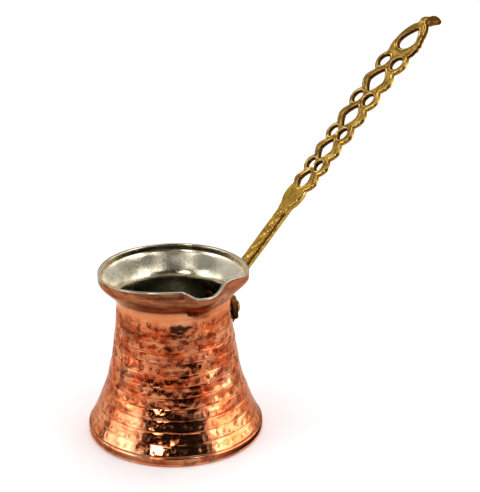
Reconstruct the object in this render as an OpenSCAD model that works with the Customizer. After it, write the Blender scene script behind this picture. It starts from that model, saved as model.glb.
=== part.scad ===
// Turkish coffee pot (cezve): hammered copper vessel with a pinched spout, tinned inside,
// and a cast brass openwork handle held to the neck by three rivets.
// Origin: centre of the base. +Z is up, the handle leans out over +X.

/* [Vessel] */
// Radius of the band round the foot
foot_r = 43.5; // [38:0.5:50]
// Height of the plain band round the foot
band_h = 4.8; // [3:0.2:8]
// Radius of the neck
neck_r = 28.1; // [24:0.1:31]
// Height at which the neck is narrowest
neck_z = 67; // [60:1:74]
// Radius of the lip
rim_r = 36.7; // [34:0.1:40]
// Height of the lip
rim_z = 84; // [80:0.5:90]
// Thickness of the copper wall
wall_t = 1.2; // [0.8:0.1:2]
// Thickness of the copper base
base_t = 1.6; // [1:0.1:3]
// Thickness of the tin lining
tin_t = 0.3; // [0.2:0.05:0.5]

/* [Spout] */
// Direction of the pouring spout, counted from the handle
spout_angle = -96; // [-110:1:-70]
// How far the tip of the spout stands out beyond the lip
spout_out = 1.8; // [0:0.2:3]
// How far the lip is pressed inward beside the spout
flank_in = 5; // [2:0.5:6]
// How far the lip rises where it is pressed inward
flank_up = 1.6; // [0:0.2:2.4]

/* [Handle] */
// Angle of the handle above the horizontal
handle_angle = 45.3; // [42:0.1:47]
// Width of the solid shaft
shaft_w = 8; // [6:0.5:11]
// Thickness of the handle
handle_t = 3; // [2.4:0.1:4]
// Distance along the handle to the centre of the leaf
leaf_s = 59; // [54:0.5:62]
// Distance along the handle to the centre of the first diamond
braid_s = 67.8; // [66:0.2:72]
// Number of diamonds in the openwork
diamonds = 4; // [2:1:4]
// First step from a diamond to the pair of eyes after it
braid_step = 9.4; // [9:0.1:10]
// Growth of each step along the openwork
step_growth = 0.42; // [0.3:0.02:0.5]

/* [Flange and rivets] */
// Thickness of the flange on the neck
flange_t = 2.8; // [2:0.1:3.5]
// Height of the middle of the flange
flange_z = 61.5; // [59:0.5:62]
// Height of the flange's wings
flange_h = 12; // [11:0.5:13]
// Distance from the middle of the flange to each wing's centre
wing_y = 9.5; // [9:0.5:11]
// Radius of a rivet's shank
rivet_r = 2; // [1.5:0.1:2.4]
// Radius of a rivet's outer head
head_r = 3.3; // [3:0.1:3.8]
// Height of a rivet's outer head
head_h = 1.8; // [1.2:0.1:2.2]

/* [Hidden] */
$fn = 96;
COPPER = "#c8713f";
TIN = "#b9b9ad";
BRASS = "#b08d2f";

// Vessel: the wall is turned up to join_z, and the shaped collar stands above it
join_z = neck_z + 1;
curl_z = neck_z + 1.5;
curl_h = 12.5;
foot_corner = 1.2;
band_step = 0.3;
floor_corner = [2, 1.4];
wall_steps = 24;
collar_steps = 10;
collar_turns = 72;
tuck = 0.06;

// Rivets
head_in_r = 3;
head_in_h = 1;
head_edge = 0.5;
hole_start = neck_r - 6;
hole_len = 16;
rivet_z = flange_z;
lower_z = flange_z - 7;

// Handle: root_r and root_z are the point where its line meets the neck
root_r = 30;
root_z = 67.2;
shaft_s = 1;
bend_r = 6;
leaf_len = 9;
leaf_w = 6.3;
curve_steps = 28;

// Openwork, as [half length, half width] at the first step and its growth at each step after it
lobe_share = 0.8;
lobe_w = 7.3;
pair_lobe_w = 7.5;
lobe_growth = 0.4;
diamond_size = [4.7, 3.4];
diamond_growth = [0.22, 0.34];
pair_size = [2.7, 1.4];
pair_growth = [0.12, 0.18];
pair_side = 2.8;
pair_side_growth = 0.3;

// Loop at the end, its hole, and the finial beyond it
loop_s = 156;
loop_size = [12.5, 9.2];
loop_hole_s = 156.5;
loop_hole_size = [6.6, 4.8];
link_s = 164;
link_w = 5.2;
finial_s = 168;
finial_droop = 6;

// Flange: the block is cut out between these distances from the axis
flange_from = 20;
flange_to = 40;
lower_r = 6;
wing_angle = asin(wing_y / (neck_r + flange_t));

// ---- Vessel profiles ----

// Straight run and steep foot of the flared wall
function flare(u) = 0.4 * u + 0.6 * pow(u, 3);
function ramp(t) = let (c = min(1, max(0, t))) c * c * (3 - 2 * c);

// Outer radius at height z, from the top of the foot band to the lip
function wall_r(z) = z < neck_z
    ? neck_r + (foot_r - band_step - neck_r) * flare((neck_z - z) / (neck_z - band_h))
    : neck_r + (rim_r - neck_r) * ramp(pow(max(0, z - curl_z) / curl_h, 1.2));
function wall_slope(z) = (wall_r(z + 0.1) - wall_r(z - 0.1)) / 0.2;

// Point of the wall at height z, moved inward by depth across the wall
function wall_point(z, depth) =
    let (k = wall_slope(z), n = sqrt(1 + k * k)) [wall_r(z) - depth / n, z + depth * k / n];

// Turned wall from the top of the foot band to the joint with the collar
function wall_line(depth) = [
    for (i = [0 : wall_steps])
        let (z = band_h + (join_z - band_h) * i / wall_steps)
        depth == 0 ? [wall_r(z), z] : [wall_r(z) - depth * sqrt(1 + pow(min(0, wall_slope(z)), 2)), z]
];

module turned_outside(extra) {
    rotate_extrude()
        polygon(concat(
            [[0, 0], [foot_r - foot_corner, 0]],
            [for (a = [-60 : 30 : 0]) [foot_r - foot_corner + foot_corner * cos(a),
                                       foot_corner + foot_corner * sin(a)]],
            [[foot_r, band_h]],
            [for (p = wall_line(0)) [p[0] + extra, p[1]]],
            [[0, join_z]]));
}

module turned_inside(depth, floor_z) {
    rotate_extrude()
        polygon(concat(
            [[0, floor_z],
             [foot_r - 1 - depth - floor_corner[0], floor_z],
             [foot_r - 1 - depth, floor_z + floor_corner[1]]],
            wall_line(depth),
            [[0, join_z]]));
}

// ---- Collar, lip and spout ----

// Share of the inward press on each side of the spout, a degrees round from its tip
function away_flank(a) = ramp((-a - 5) / 12) * (1 - ramp((-a - 24) / 80));
function handle_flank(a) = ramp((a - 4) / 26) * (1 - ramp((a - 32) / 30));
function flanks(a) = away_flank(a) + handle_flank(a);
function spout(a) = exp(-pow(a / 9, 2));

function collar_point(turn, z, depth) =
    let (a = turn * 360 / collar_turns - 180,
         p = wall_point(z, depth),
         w = ramp((z - join_z) / (rim_z - join_z)),
         r = p[0] + w * (spout_out * spout(a) - flank_in * flanks(a)),
         up = w * flank_up * flanks(a))
    [r * cos(a + spout_angle), r * sin(a + spout_angle), p[1] + up];

// Heights of the collar's rings, up to top
function collar_heights(top) = [for (i = [0 : collar_steps]) join_z + (top - join_z) * i / collar_steps];

// Closed ring swept round the axis: each section is a loop of [height, depth] pairs. The ring starts
// on the turned wall's top face, a tuck in from its edges.
module swept_ring(section) {
    m = len(section);
    points = [for (t = [0 : collar_turns - 1]) for (s = section) collar_point(t, s[0], s[1])];
    faces = [
        for (t = [0 : collar_turns - 1]) for (i = [0 : m - 1])
            let (a = t * m + i,
                 b = t * m + (i + 1) % m,
                 c = ((t + 1) % collar_turns) * m + (i + 1) % m,
                 d = ((t + 1) % collar_turns) * m + i)
            each [[a, b, c], [a, c, d]]
    ];
    polyhedron(points, faces);
}

module rivet_holes() {
    for (side = [-1, 1])
        rotate([0, 0, side * wing_angle]) translate([hole_start, 0, rivet_z]) rotate([0, 90, 0])
            cylinder(r = rivet_r, h = hole_len);
    translate([hole_start, 0, lower_z]) rotate([0, 90, 0]) cylinder(r = rivet_r, h = hole_len);
}

module copper_body() {
    heights = collar_heights(rim_z - tin_t);
    color(COPPER) union() {
        difference() {
            turned_outside(0);
            turned_inside(wall_t, base_t);
            rivet_holes();
        }
        swept_ring(concat(
            [[join_z, tuck]],
            [for (i = [1 : collar_steps]) [heights[i], 0]],
            [for (i = [collar_steps : -1 : 1]) [heights[i], wall_t]],
            [[join_z, wall_t - tuck]]));
    }
}

module tin_lining() {
    heights = collar_heights(rim_z - tin_t);
    color(TIN) union() {
        difference() {
            turned_inside(wall_t, base_t);
            turned_inside(wall_t + tin_t, base_t + tin_t);
            rivet_holes();
        }
        swept_ring(concat(
            [[join_z, wall_t + tuck]],
            [for (i = [1 : collar_steps]) [heights[i], wall_t]],
            [[rim_z - tin_t, 0], [rim_z, 0], [rim_z, wall_t + tin_t]],
            [for (i = [collar_steps : -1 : 1]) [heights[i], wall_t + tin_t]],
            [[join_z, wall_t + tin_t - tuck]]));
    }
}

// ---- Handle ----

// Closed curve with half length and half width in size: power 2 is an ellipse, near 1 it is a
// diamond, and taper makes it a drop with its point away from the pot
module eye(s, y, size, power, taper = 0) {
    translate([s, y])
        polygon([
            for (i = [0 : curve_steps - 1])
                let (t = 360 * i / curve_steps, c = cos(t), d = sin(t))
                [size[0] * sign(c) * pow(abs(c), 2 / power),
                 size[1] * (1 - taper * c) * sign(d) * pow(abs(d), 2 / power)]
        ]);
}

// Place of step i along the openwork: even steps are diamonds, odd steps are pairs of eyes
function braid_at(i) = braid_s + i * braid_step + step_growth * i * (i - 1) / 2;
function lobe_size(i) = [lobe_share * (braid_step + step_growth * i),
                         (i % 2 == 0 ? lobe_w : pair_lobe_w) + lobe_growth * i];

module handle_outline() {
    translate([shaft_s, -shaft_w / 2]) square([leaf_s - shaft_s, shaft_w]);
    eye(leaf_s, 0, [leaf_len, leaf_w], 2);
    for (i = [0 : 2 * diamonds - 1]) eye(braid_at(i), 0, lobe_size(i), 2);
    eye(loop_s, 0, loop_size, 1.8);
    translate([link_s, -link_w / 2]) square([finial_s + 2 - link_s, link_w]);
}

module handle_windows() {
    for (i = [0 : 2 : 2 * diamonds - 1])
        eye(braid_at(i), 0, diamond_size + i * diamond_growth, 1.25);
    for (i = [1 : 2 : 2 * diamonds - 1]) for (side = [-1, 1])
        eye(braid_at(i), side * (pair_side + i * pair_side_growth), pair_size + i * pair_growth, 2);
    eye(loop_hole_s, 0, loop_hole_size, 1.7, 0.3);
}

module handle_blade() {
    translate([root_r, 0, root_z]) rotate([0, -handle_angle, 0])
        translate([0, 0, -handle_t / 2]) linear_extrude(handle_t) difference() {
            handle_outline();
            handle_windows();
        }
}

// Bend that turns the flange's upright strap into the leaning shaft
module handle_bend() {
    strap_r = neck_r + flange_t / 2;
    end_x = strap_r + bend_r * (1 - cos(handle_angle));
    end_z = root_z + (end_x - root_r) * tan(handle_angle);
    start_z = end_z - bend_r * sin(handle_angle);
    translate([strap_r + bend_r, 0, start_z]) rotate([90, 0, 0]) rotate([0, 0, 180 - handle_angle])
        rotate_extrude(angle = handle_angle)
            translate([bend_r - handle_t / 2, -shaft_w / 2]) square([handle_t, shaft_w]);
}

module flange() {
    intersection() {
        turned_outside(flange_t);
        translate([flange_from, 0, 0]) rotate([90, 0, 90]) linear_extrude(flange_to - flange_from) {
            translate([-wing_y, flange_z - flange_h / 2]) square([2 * wing_y, flange_h]);
            for (side = [-1, 1]) translate([side * wing_y, flange_z]) circle(r = flange_h / 2);
            translate([0, lower_z]) circle(r = lower_r);
        }
    }
}

// Curled end: a turned head with a tapering beak
module finial() {
    translate([root_r + finial_s * cos(handle_angle), 0, root_z + finial_s * sin(handle_angle)])
        rotate([0, 90 + finial_droop, 0]) rotate_extrude()
            polygon([[0, -3], [1.8, -2.8], [2.9, -1.6], [3.2, 0.5], [2.9, 3], [3.2, 5.5],
                     [3.1, 7.5], [2.2, 10], [1.1, 12.2], [0, 13]]);
}

module handle() {
    color(BRASS) difference() {
        union() {
            flange();
            handle_bend();
            handle_blade();
            finial();
        }
        turned_outside(0);
        rivet_holes();
    }
}

// ---- Rivets ----

// Flange, copper and tin together, with the holes that the rivets fill
module riveted_wall() {
    difference() {
        turned_outside(flange_t);
        turned_inside(wall_t + tin_t, base_t + tin_t);
        rivet_holes();
    }
}

// Rivet along +X at height z, turned about the vessel's axis: a domed head outside, a flatter one inside
module rivet(angle, z) {
    inside = wall_r(z) - wall_t - tin_t;
    outside = wall_r(z) + flange_t;
    color(BRASS) difference() {
        rotate([0, 0, angle]) translate([0, 0, z]) rotate([0, 90, 0]) rotate_extrude()
            polygon(concat(
                [[0, inside - head_in_h],
                 [head_in_r - head_edge, inside - head_in_h],
                 [head_in_r, inside - head_in_h + head_edge],
                 [head_in_r, inside + head_edge],
                 [rivet_r, inside + head_edge],
                 [rivet_r, outside - head_edge],
                 [head_r, outside - head_edge]],
                [for (a = [0 : 15 : 90]) [head_r * cos(a), outside + head_h * sin(a)]]));
        riveted_wall();
    }
}

module rivet_left() { rivet(-wing_angle, rivet_z); }
module rivet_right() { rivet(wing_angle, rivet_z); }
module rivet_lower() { rivet(0, lower_z); }

copper_body();
tin_lining();
handle();
rivet_left();
rivet_right();
rivet_lower();
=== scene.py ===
import math

import bpy
import numpy as np
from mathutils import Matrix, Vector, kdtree


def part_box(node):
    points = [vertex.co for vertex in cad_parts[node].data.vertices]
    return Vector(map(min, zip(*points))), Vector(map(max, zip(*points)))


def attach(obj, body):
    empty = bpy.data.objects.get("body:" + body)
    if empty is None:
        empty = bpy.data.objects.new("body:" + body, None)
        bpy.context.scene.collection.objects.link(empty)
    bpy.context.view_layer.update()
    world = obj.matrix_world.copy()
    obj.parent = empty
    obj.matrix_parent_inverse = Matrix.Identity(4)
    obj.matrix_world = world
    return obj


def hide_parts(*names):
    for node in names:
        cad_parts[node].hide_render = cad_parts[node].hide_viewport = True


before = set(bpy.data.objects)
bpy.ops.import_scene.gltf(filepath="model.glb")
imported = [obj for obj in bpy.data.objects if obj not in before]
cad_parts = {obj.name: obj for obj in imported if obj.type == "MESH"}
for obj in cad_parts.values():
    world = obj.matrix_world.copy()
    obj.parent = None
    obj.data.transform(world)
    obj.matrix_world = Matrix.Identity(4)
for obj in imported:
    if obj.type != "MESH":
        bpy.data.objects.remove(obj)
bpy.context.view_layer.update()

MM = 0.001

# ---- Sizes shared with the CAD part ----
TIN_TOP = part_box("tin_lining")[1].z / MM
FLANK_UP = 1.6
FOOT_R = 43.5
BAND_H = 4.8
BAND_STEP = 0.3
NECK_R = 28.1
NECK_Z = 67.0
RIM_R = 36.7
RIM_Z = round(TIN_TOP - FLANK_UP, 1)
WALL_T = 1.2
BASE_T = 1.6
TIN_T = 0.3
SPOUT_ANGLE = -96.0
SPOUT_OUT = 1.8
FLANK_IN = 5.0
JOIN_Z = NECK_Z + 1
CURL_Z = NECK_Z + 1.5
CURL_H = 12.5

# Names that end in _S are places along the handle, and those in _Y lie across it.
HANDLE_ANGLE = 45.3
BEND_R = 6.0
HANDLE_T = 3.0
SHAFT_W = 8.0
FLANGE_T = 2.8
LEAF_S = 59.0
BRAID_S = 67.8
BRAID_STEP = 9.4
STEP_GROWTH = 0.42
DIAMONDS = 4
LOOP_S = 156.2
FINIAL_S = 171.0
RIVET_Z = 61.5
LOWER_Z = 54.5
WING_Y = 9.5
SHANK_R = 2.0
# Height of each rivet and its distance to one side of the handle.
RIVETS = {"rivet_left": (RIVET_Z, -WING_Y), "rivet_right": (RIVET_Z, WING_Y), "rivet_lower": (LOWER_Z, 0)}

# ---- Resolution of the meshes ----
FINE_COLUMNS = 512
TIN_COLUMNS = 384
COARSE_COLUMNS = 128
HANDLE_CELL = 0.27


# ---- Helpers ----

def ramp(t):
    """Smooth step from 0 to 1."""
    t = np.clip(t, 0, 1)
    return t * t * (3 - 2 * t)


def bell(x, width):
    """1 at zero, falling smoothly to nothing past twice the width."""
    return np.exp(-(x / width) ** 2)


def half_turn(angle):
    """The same angle between -180 and 180 degrees."""
    return (angle + 180) % 360 - 180


def fan(fine, fine_count, coarse, coarse_count):
    """Triangles from a fine ring up to a coarse one. Fine and coarse are the rings' first indices."""
    share = fine_count // coarse_count
    faces = []
    for j in range(coarse_count):
        for i in range(j * share, (j + 1) * share):
            faces.append((fine + i, fine + (i + 1) % fine_count, coarse + j))
        if coarse_count > 1:
            faces.append((fine + (j + 1) * share % fine_count, coarse + (j + 1) % coarse_count, coarse + j))
    return faces


def bridge(lower, lower_count, upper, upper_count):
    """Faces between two rings. Lower and upper are the rings' first indices."""
    if lower_count > upper_count:
        return fan(lower, lower_count, upper, upper_count)
    if lower_count < upper_count:
        return [face[::-1] for face in fan(upper, upper_count, lower, lower_count)]
    here = np.arange(lower_count)
    after = (here + 1) % lower_count
    return np.stack([lower + here, lower + after, upper + after, upper + here], 1).tolist()


def ring_shell(rings):
    """Points and faces of a shell through rings. Of two neighbours, one's count divides the other's."""
    faces = []
    start = 0
    for ring, following in zip(rings, rings[1:]):
        faces += bridge(start, len(ring), start + len(ring), len(following))
        start += len(ring)
    return np.concatenate(rings), faces


def add_mesh(name, points, faces, material, attributes):
    """A mesh object from points in metres. Each attribute has one value for each point."""
    mesh = bpy.data.meshes.new(name)
    mesh.from_pydata(points, [], faces)
    for key, values in attributes.items():
        layer = mesh.attributes.new(key, "FLOAT", "POINT")
        layer.data.foreach_set("value", np.asarray(values, np.float32))
    mesh.materials.append(material)
    mesh.update()
    thing = bpy.data.objects.new(name, mesh)
    bpy.context.scene.collection.objects.link(thing)
    return thing


def make_piece(name, points, faces, material, node, attributes):
    """A smooth piece from points in millimetres, which rides on the root body and replaces a CAD node."""
    piece = add_mesh(name, (points * MM).tolist(), faces, material, attributes)
    piece.data.shade_smooth()
    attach(piece, "root")
    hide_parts(node)
    return piece


# ---- Vessel shape ----

def flare(u):
    """Outward sweep of the wall, u from 0 at the neck to 1 at the foot band."""
    return 0.4 * u + 0.6 * u ** 3


def wall_r(z):
    """Outer radius of the wall at height z."""
    below = np.clip((NECK_Z - z) / (NECK_Z - BAND_H), 0, None)
    above = np.clip((z - CURL_Z) / CURL_H, 0, None)
    return (NECK_R + (FOOT_R - BAND_STEP - NECK_R) * flare(below)
            + (RIM_R - NECK_R) * ramp(above ** 1.2))


def wall_slope(z):
    """Change of the wall's radius with height."""
    return (wall_r(z + 0.1) - wall_r(z - 0.1)) / 0.2


def away_flank(a):
    """Pinch on the spout's side away from the handle, a degrees from the spout."""
    return ramp((-a - 5) / 12) * (1 - ramp((-a - 24) / 80))


def handle_flank(a):
    """Pinch on the spout's side towards the handle."""
    return ramp((a - 4) / 26) * (1 - ramp((a - 32) / 30))


def collar_shift(a, w):
    """How far the collar moves outward and upward, a degrees from the spout; w grows to 1 at the lip."""
    flanks = away_flank(a) + handle_flank(a)
    return w * (SPOUT_OUT * bell(a, 9) - FLANK_IN * flanks), w * FLANK_UP * flanks


def wall_points(z, depth, angles):
    """Grid of points on the wall at heights z and angles (degrees), moved inward by depth."""
    z = np.asarray(z, float)
    if z.ndim == 1:
        z = z[:, None]
    slope = wall_slope(z)
    length = np.sqrt(1 + slope ** 2)
    a = half_turn(angles[None, :] - SPOUT_ANGLE)
    out, up = collar_shift(a, ramp((z - JOIN_Z) / (RIM_Z - JOIN_Z)))
    radius = wall_r(z) - depth / length + out
    height = z + depth * slope / length + up
    turn = np.radians(angles)[None, :]
    return np.stack([radius * np.cos(turn), radius * np.sin(turn), height + 0 * turn], -1)


def flat_ring(radius, z, count):
    """Level ring of points round the axis."""
    turn = np.radians(column_angles(count))
    return np.stack([radius * np.cos(turn), radius * np.sin(turn), np.full(count, float(z))], 1)


def axis_point(z):
    """Ring of a single point on the axis."""
    return np.array([[0.0, 0.0, z]])


def column_angles(count):
    return np.arange(count) * 360.0 / count


# ---- Hammered relief ----

BANDS = 10
LINE_TOP = 58.8
HAMMER_TOP = 70.4
HAMMER_FOOT = 5.2
FACET_TOP = 68
# Mesh rows of one band, and of the plain zone over the last line, as shares of their height.
BAND_ROWS = [0, 0.035, 0.08, 0.15, 0.25, 0.37, 0.5, 0.63, 0.75, 0.85, 0.92, 0.965]
TOP_ROWS = [0, 0.02, 0.05] + [0.09 + 0.91 * row / 19 for row in range(20)]
LINE_DEPTH = 0.13
LINE_WANDER = 0.22
CROWN = 0.09
# Punch marks: gap, half width, half height and depth. Those below FINE_BELOW are smaller.
MARK_PITCH = 4.6
MARK_W = 1.2
MARK_H = 1.7
MARK_DEPTH = 0.18
FINE_BELOW = 26
DENT_ROWS = [62.2, 66.4]
# Hammer facets: number, half width, half height, least and most depth.
FACETS = [(1400, 2.6, 2.2, 0.03, 0.12), (360, 6.0, 3.8, 0.06, 0.24)]
SOFT_BANDS = 3.6
# Heavy blows near the spout: height, angle, half width, half height and depth.
BLOWS = [(68.0, -115, 6.5, 4.6, 0.42), (67.3, -87, 2.8, 5.6, 0.50), (57.0, -124, 6.0, 4.0, 0.22),
         (49.5, -106, 7.5, 4.2, 0.28), (42.0, -120, 6.5, 4.0, 0.25)]
# Dark patches painted in front: a painted shadow under the spout, painted shade on the neck below the
# collar, three darker clouds, and a painted dark reflection low on the left. Height, angle, half width, half
# height and strength.
DARK_PATCHES = [(73.6, -102, 4.4, 2.0, 1.0), (65.4, -114.5, 6.2, 1.6, 1.0), (60.5, -170, 9.0, 5.0, 0.42),
           (58.0, -112, 13.0, 4.5, 0.34), (46.0, -118, 10.0, 5.0, 0.30), (39.0, -173, 3.2, 9.0, 0.50)]


def arc_table():
    """Heights up the wall and the length along it, counted from the top of the foot band."""
    z = np.linspace(HAMMER_FOOT, RIM_Z, 2000)
    step = np.sqrt(np.diff(wall_r(z)) ** 2 + np.diff(z) ** 2)
    return z, np.concatenate([[0], np.cumsum(step)])


def hammered_rows():
    """Heights of the mesh rows, each row's place along the wall, and the length of a band along it."""
    z, arc = arc_table()
    last_line, top = np.interp((LINE_TOP, HAMMER_TOP), z, arc)
    pitch = last_line / BANDS
    places = [(band + share) * pitch for band in range(BANDS) for share in BAND_ROWS]
    places = np.array(places + [last_line + share * (top - last_line) for share in TOP_ROWS])
    return np.interp(places, arc, z), places, pitch


class Relief:
    """Depth of the hammered wall below the smooth one, and the painted shade in its lines and dents, over a
    grid.
    """

    def __init__(self, z, rows, pitch, angles):
        self.z = z
        self.rows = rows
        self.pitch = pitch
        self.angles = angles
        self.radii = wall_r(z)
        self.depth = np.zeros((len(z), len(angles)))
        self.cavity = np.zeros_like(self.depth)
        self.rng = np.random.default_rng(7)

    def stamp(self, place, angle, width, height, depth, tilt, dark=0):
        """Presses in one mark. Dark gives a punch mark a painted shadow along its lower rim."""
        near = np.abs(self.rows - place) < height * 1.25
        offset = np.radians(half_turn(self.angles - angle)) * self.radii[near].mean()
        columns = np.abs(offset) < width * 1.25
        u = offset[columns][None, :]
        v = (self.rows[near] - place)[:, None]
        u, v = u * math.cos(tilt) + v * math.sin(tilt), v * math.cos(tilt) - u * math.sin(tilt)
        spread = (u / width) ** 2 + (v / height) ** 2
        bowl = np.clip(1 - spread, 0, 1) ** 0.8
        block = np.ix_(near, columns)
        if not dark:
            self.depth[block] += depth * bowl
            return
        # Painted shadow: the lower rim of a punch mark is darkened.
        rim = bell(spread - 0.6, 0.45) * np.clip(0.65 - 0.75 * v / height, 0, 1)
        self.depth[block] += depth * (0.45 * bowl + 0.8 * rim)
        self.cavity[block] = np.maximum(self.cavity[block], dark * np.clip(rim * 1.5, 0, 1))

    def bands(self):
        """Crowned bands with a lathe line between each two, deeper in some places than in others, with
        painted shade in the lines.
        """
        share = np.where(self.rows < (BANDS + 0.3) * self.pitch, (self.rows / self.pitch) % 1, 0.5)
        strength = 0.4 + 0.6 * ramp((30 - self.z) / 20)
        crown = CROWN * strength * (1 - 4 * share * (1 - share)) ** 2
        line = np.where(np.minimum(share, 1 - share) < 0.02, 1.0, 0)
        turn = np.radians(self.angles)[None, :]
        phase = self.rows[:, None] * 1.7
        wander = np.clip(0.5 + 0.3 * np.sin(2 * turn + phase) + 0.35 * np.sin(9 * turn - 3 * phase)
                         + 0.25 * np.sin(23 * turn + 5 * phase), 0.1, 1)
        self.depth += crown[:, None] + LINE_DEPTH * line[:, None] * wander
        # Painted shade in the lathe lines.
        self.cavity += line[:, None] * wander

    def punch_row(self, centre, stagger):
        """One row of crescent punch marks round the pot, each with a painted shadow on its lower rim."""
        rng = self.rng
        count = int(2 * math.pi * np.interp(centre, self.rows, self.radii) / MARK_PITCH)
        fine = np.interp(centre, self.rows, self.z) < FINE_BELOW
        for mark in range(count):
            angle = (mark + stagger + rng.uniform(-0.3, 0.3)) * 360 / count
            size = rng.uniform(0.7, 1.25) * (0.75 if fine else 1)
            place = centre + rng.uniform(-0.9, 0.9)
            depth = MARK_DEPTH * rng.uniform(0.5, 1.2) * (0.6 if fine else 1)
            tilt = rng.uniform(-0.6, 0.6)
            self.stamp(place, angle, MARK_W * size, MARK_H * size, depth, tilt, rng.uniform(0.5, 1.0))

    def facets(self):
        """Flat hammer facets of two sizes, shallower on the lowest bands."""
        rng = self.rng
        top = np.interp(FACET_TOP, self.z, self.rows)
        for count, width, height, least, most in FACETS:
            for _ in range(count):
                size = rng.uniform(0.65, 1.5)
                place = rng.uniform(0, top)
                angle = rng.uniform(0, 360)
                softer = 0.65 if place < SOFT_BANDS * self.pitch else 1
                depth = softer * rng.uniform(least, most)
                self.stamp(place, angle, width * size, height * size, depth, rng.uniform(-0.4, 0.4))

    def blows(self):
        """The few heavy blows."""
        for z, angle, width, height, depth in BLOWS:
            self.stamp(np.interp(z, self.z, self.rows), angle, width, height, depth, 0.1)


def hammered_relief(z, rows, pitch, angles):
    """Depth and darkness of the whole hammered zone."""
    relief = Relief(z, rows, pitch, angles)
    relief.bands()
    centres = [(band + 0.5) * pitch for band in range(BANDS)] + list(np.interp(DENT_ROWS, z, rows))
    for number, centre in enumerate(centres):
        relief.punch_row(centre, 0.5 * (number % 2))
    relief.facets()
    relief.blows()
    return relief.depth * ramp((HAMMER_TOP - z) / 1.5)[:, None], relief.cavity


def dark_patches(z, angles):
    """How dark the painted patches of shadow, reflection and cloud are over a grid of heights and angles,
    with ragged edges.
    """
    dark = np.zeros((len(z), len(angles)))
    for height, angle, half_width, half_height, strength in DARK_PATCHES:
        across = np.radians(half_turn(angles - angle))[None, :] * NECK_R / half_width
        upward = (z[:, None] - height) / half_height
        ragged = 0.3 * np.sin(9 * across + 2 * upward) + 0.2 * np.sin(4 * across - 5 * upward)
        dark = np.maximum(dark, strength * ramp((1.15 - across ** 2 - upward ** 2 + ragged) / 0.7))
    return dark


def smooth_wander(z, angles, size, seed):
    """Slow waviness of hand-worked metal, in millimetres, over a grid of heights and angles."""
    rng = np.random.default_rng(seed)
    turn = np.radians(angles)[None, :]
    total = np.zeros((len(z), len(angles)))
    for _ in range(14):
        waves = rng.integers(2, 11)
        total += np.sin(waves * turn + rng.uniform(0.1, 0.5) * z[:, None] + rng.uniform(0, 6.3)) / waves
    return size * total


# ---- Copper body ----

LEDGE_Z = 73.3


def foot_rings(count):
    """Underside, rounded corner and plain band of the foot, from the centre out and up."""
    corner = 1.2
    groove_z = BAND_H + 0.1
    rings = [axis_point(0.45)]
    for radius, z in ((8, 0.45), (20, 0.42), (32, 0.4), (38, 0.35), (39.2, 0.08), (40, 0)):
        rings.append(flat_ring(radius, z, COARSE_COLUMNS))
    profile = [(FOOT_R - corner, 0)]
    profile += [(FOOT_R - corner + corner * math.cos(t), corner + corner * math.sin(t))
                for t in np.radians([-68, -45, -22, 0])]
    profile += [(FOOT_R, 2.4), (FOOT_R - 0.02, 3.6), (FOOT_R - 0.08, BAND_H - 0.45),
                (FOOT_R - 0.3, BAND_H - 0.2), (FOOT_R - 0.75, groove_z)]
    rings += [flat_ring(radius, z, count) for radius, z in profile]
    return rings


def hammered_wall(angles):
    """Points and darkness of the outside up to the top of the hammered zone."""
    z, rows, pitch = hammered_rows()
    depth, cavity = hammered_relief(z, rows, pitch, angles)
    turn = np.radians(angles)[None, :]
    waves = np.sin(3 * turn + rows[:, None] * 0.9) + 0.6 * np.sin(8 * turn + rows[:, None] * 2.3)
    edge = ramp((z - HAMMER_FOOT) / 4) * ramp((HAMMER_TOP - z) / 3)
    wall = wall_points(z[:, None] + LINE_WANDER * edge[:, None] * waves, depth + 0.02, angles)
    return wall, np.maximum(cavity, dark_patches(z, angles))


def collar(angles):
    """Points and darkness of the outside from the hammered zone to the lip, with its small ledge and painted
    shade along it.
    """
    z = np.linspace(HAMMER_TOP, RIM_Z - TIN_T, 28)[1:]
    calm = ramp((z - HAMMER_TOP) / 2)[:, None]
    wobble = np.clip(smooth_wander(z, angles, 0.05, 3), -0.04, 0.3) * calm
    depth = 0.04 + wobble + 0.14 * bell(z - LEDGE_Z, 0.5)[:, None]
    # Painted shade along the ledge.
    ledge_shade = 0.55 * bell(z - LEDGE_Z, 0.55)[:, None]
    return wall_points(z, depth, angles), np.maximum(ledge_shade, dark_patches(z, angles))


def copper_body(material):
    angles = column_angles(FINE_COLUMNS)
    wall, wall_dark = hammered_wall(angles)
    lip, lip_dark = collar(angles)
    foot = foot_rings(FINE_COLUMNS)
    inner_z = np.concatenate([np.linspace(RIM_Z - TIN_T, JOIN_Z, 12), np.linspace(JOIN_Z, BAND_H, 18)[1:]])
    inner = wall_points(inner_z, WALL_T, column_angles(COARSE_COLUMNS))
    floor = flat_ring(FOOT_R - WALL_T - 3.6, BASE_T, COARSE_COLUMNS)
    centre = axis_point(BASE_T)
    points, faces = ring_shell(foot + list(wall) + list(lip) + list(inner) + [floor, centre])
    foot_count = sum(len(ring) for ring in foot)
    dark = np.concatenate([wall_dark.ravel(), lip_dark.ravel()])
    cavity = np.zeros(len(points))
    # Painted shade in the groove at the top of the foot band.
    cavity[foot_count - FINE_COLUMNS:foot_count] = 1.0
    cavity[foot_count:foot_count + len(dark)] = dark
    return make_piece("copper_pot", points, faces, material, "copper_body", {"cavity": cavity})


# ---- Tin lining ----

# Rolled lip, from the inside over the top to the copper: height and depth from the outer face.
LIP_EDGE = [(RIM_Z - 0.45, WALL_T + TIN_T - 0.04), (RIM_Z - 0.15, WALL_T + TIN_T - 0.2),
            (RIM_Z, WALL_T + TIN_T - 0.5), (RIM_Z, 0.5), (RIM_Z - 0.1, 0.18), (RIM_Z - 0.32, 0.02),
            (RIM_Z - 0.75, 0.0), (RIM_Z - 0.8, 0.15)]
LIP_DARK = 0.6


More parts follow.
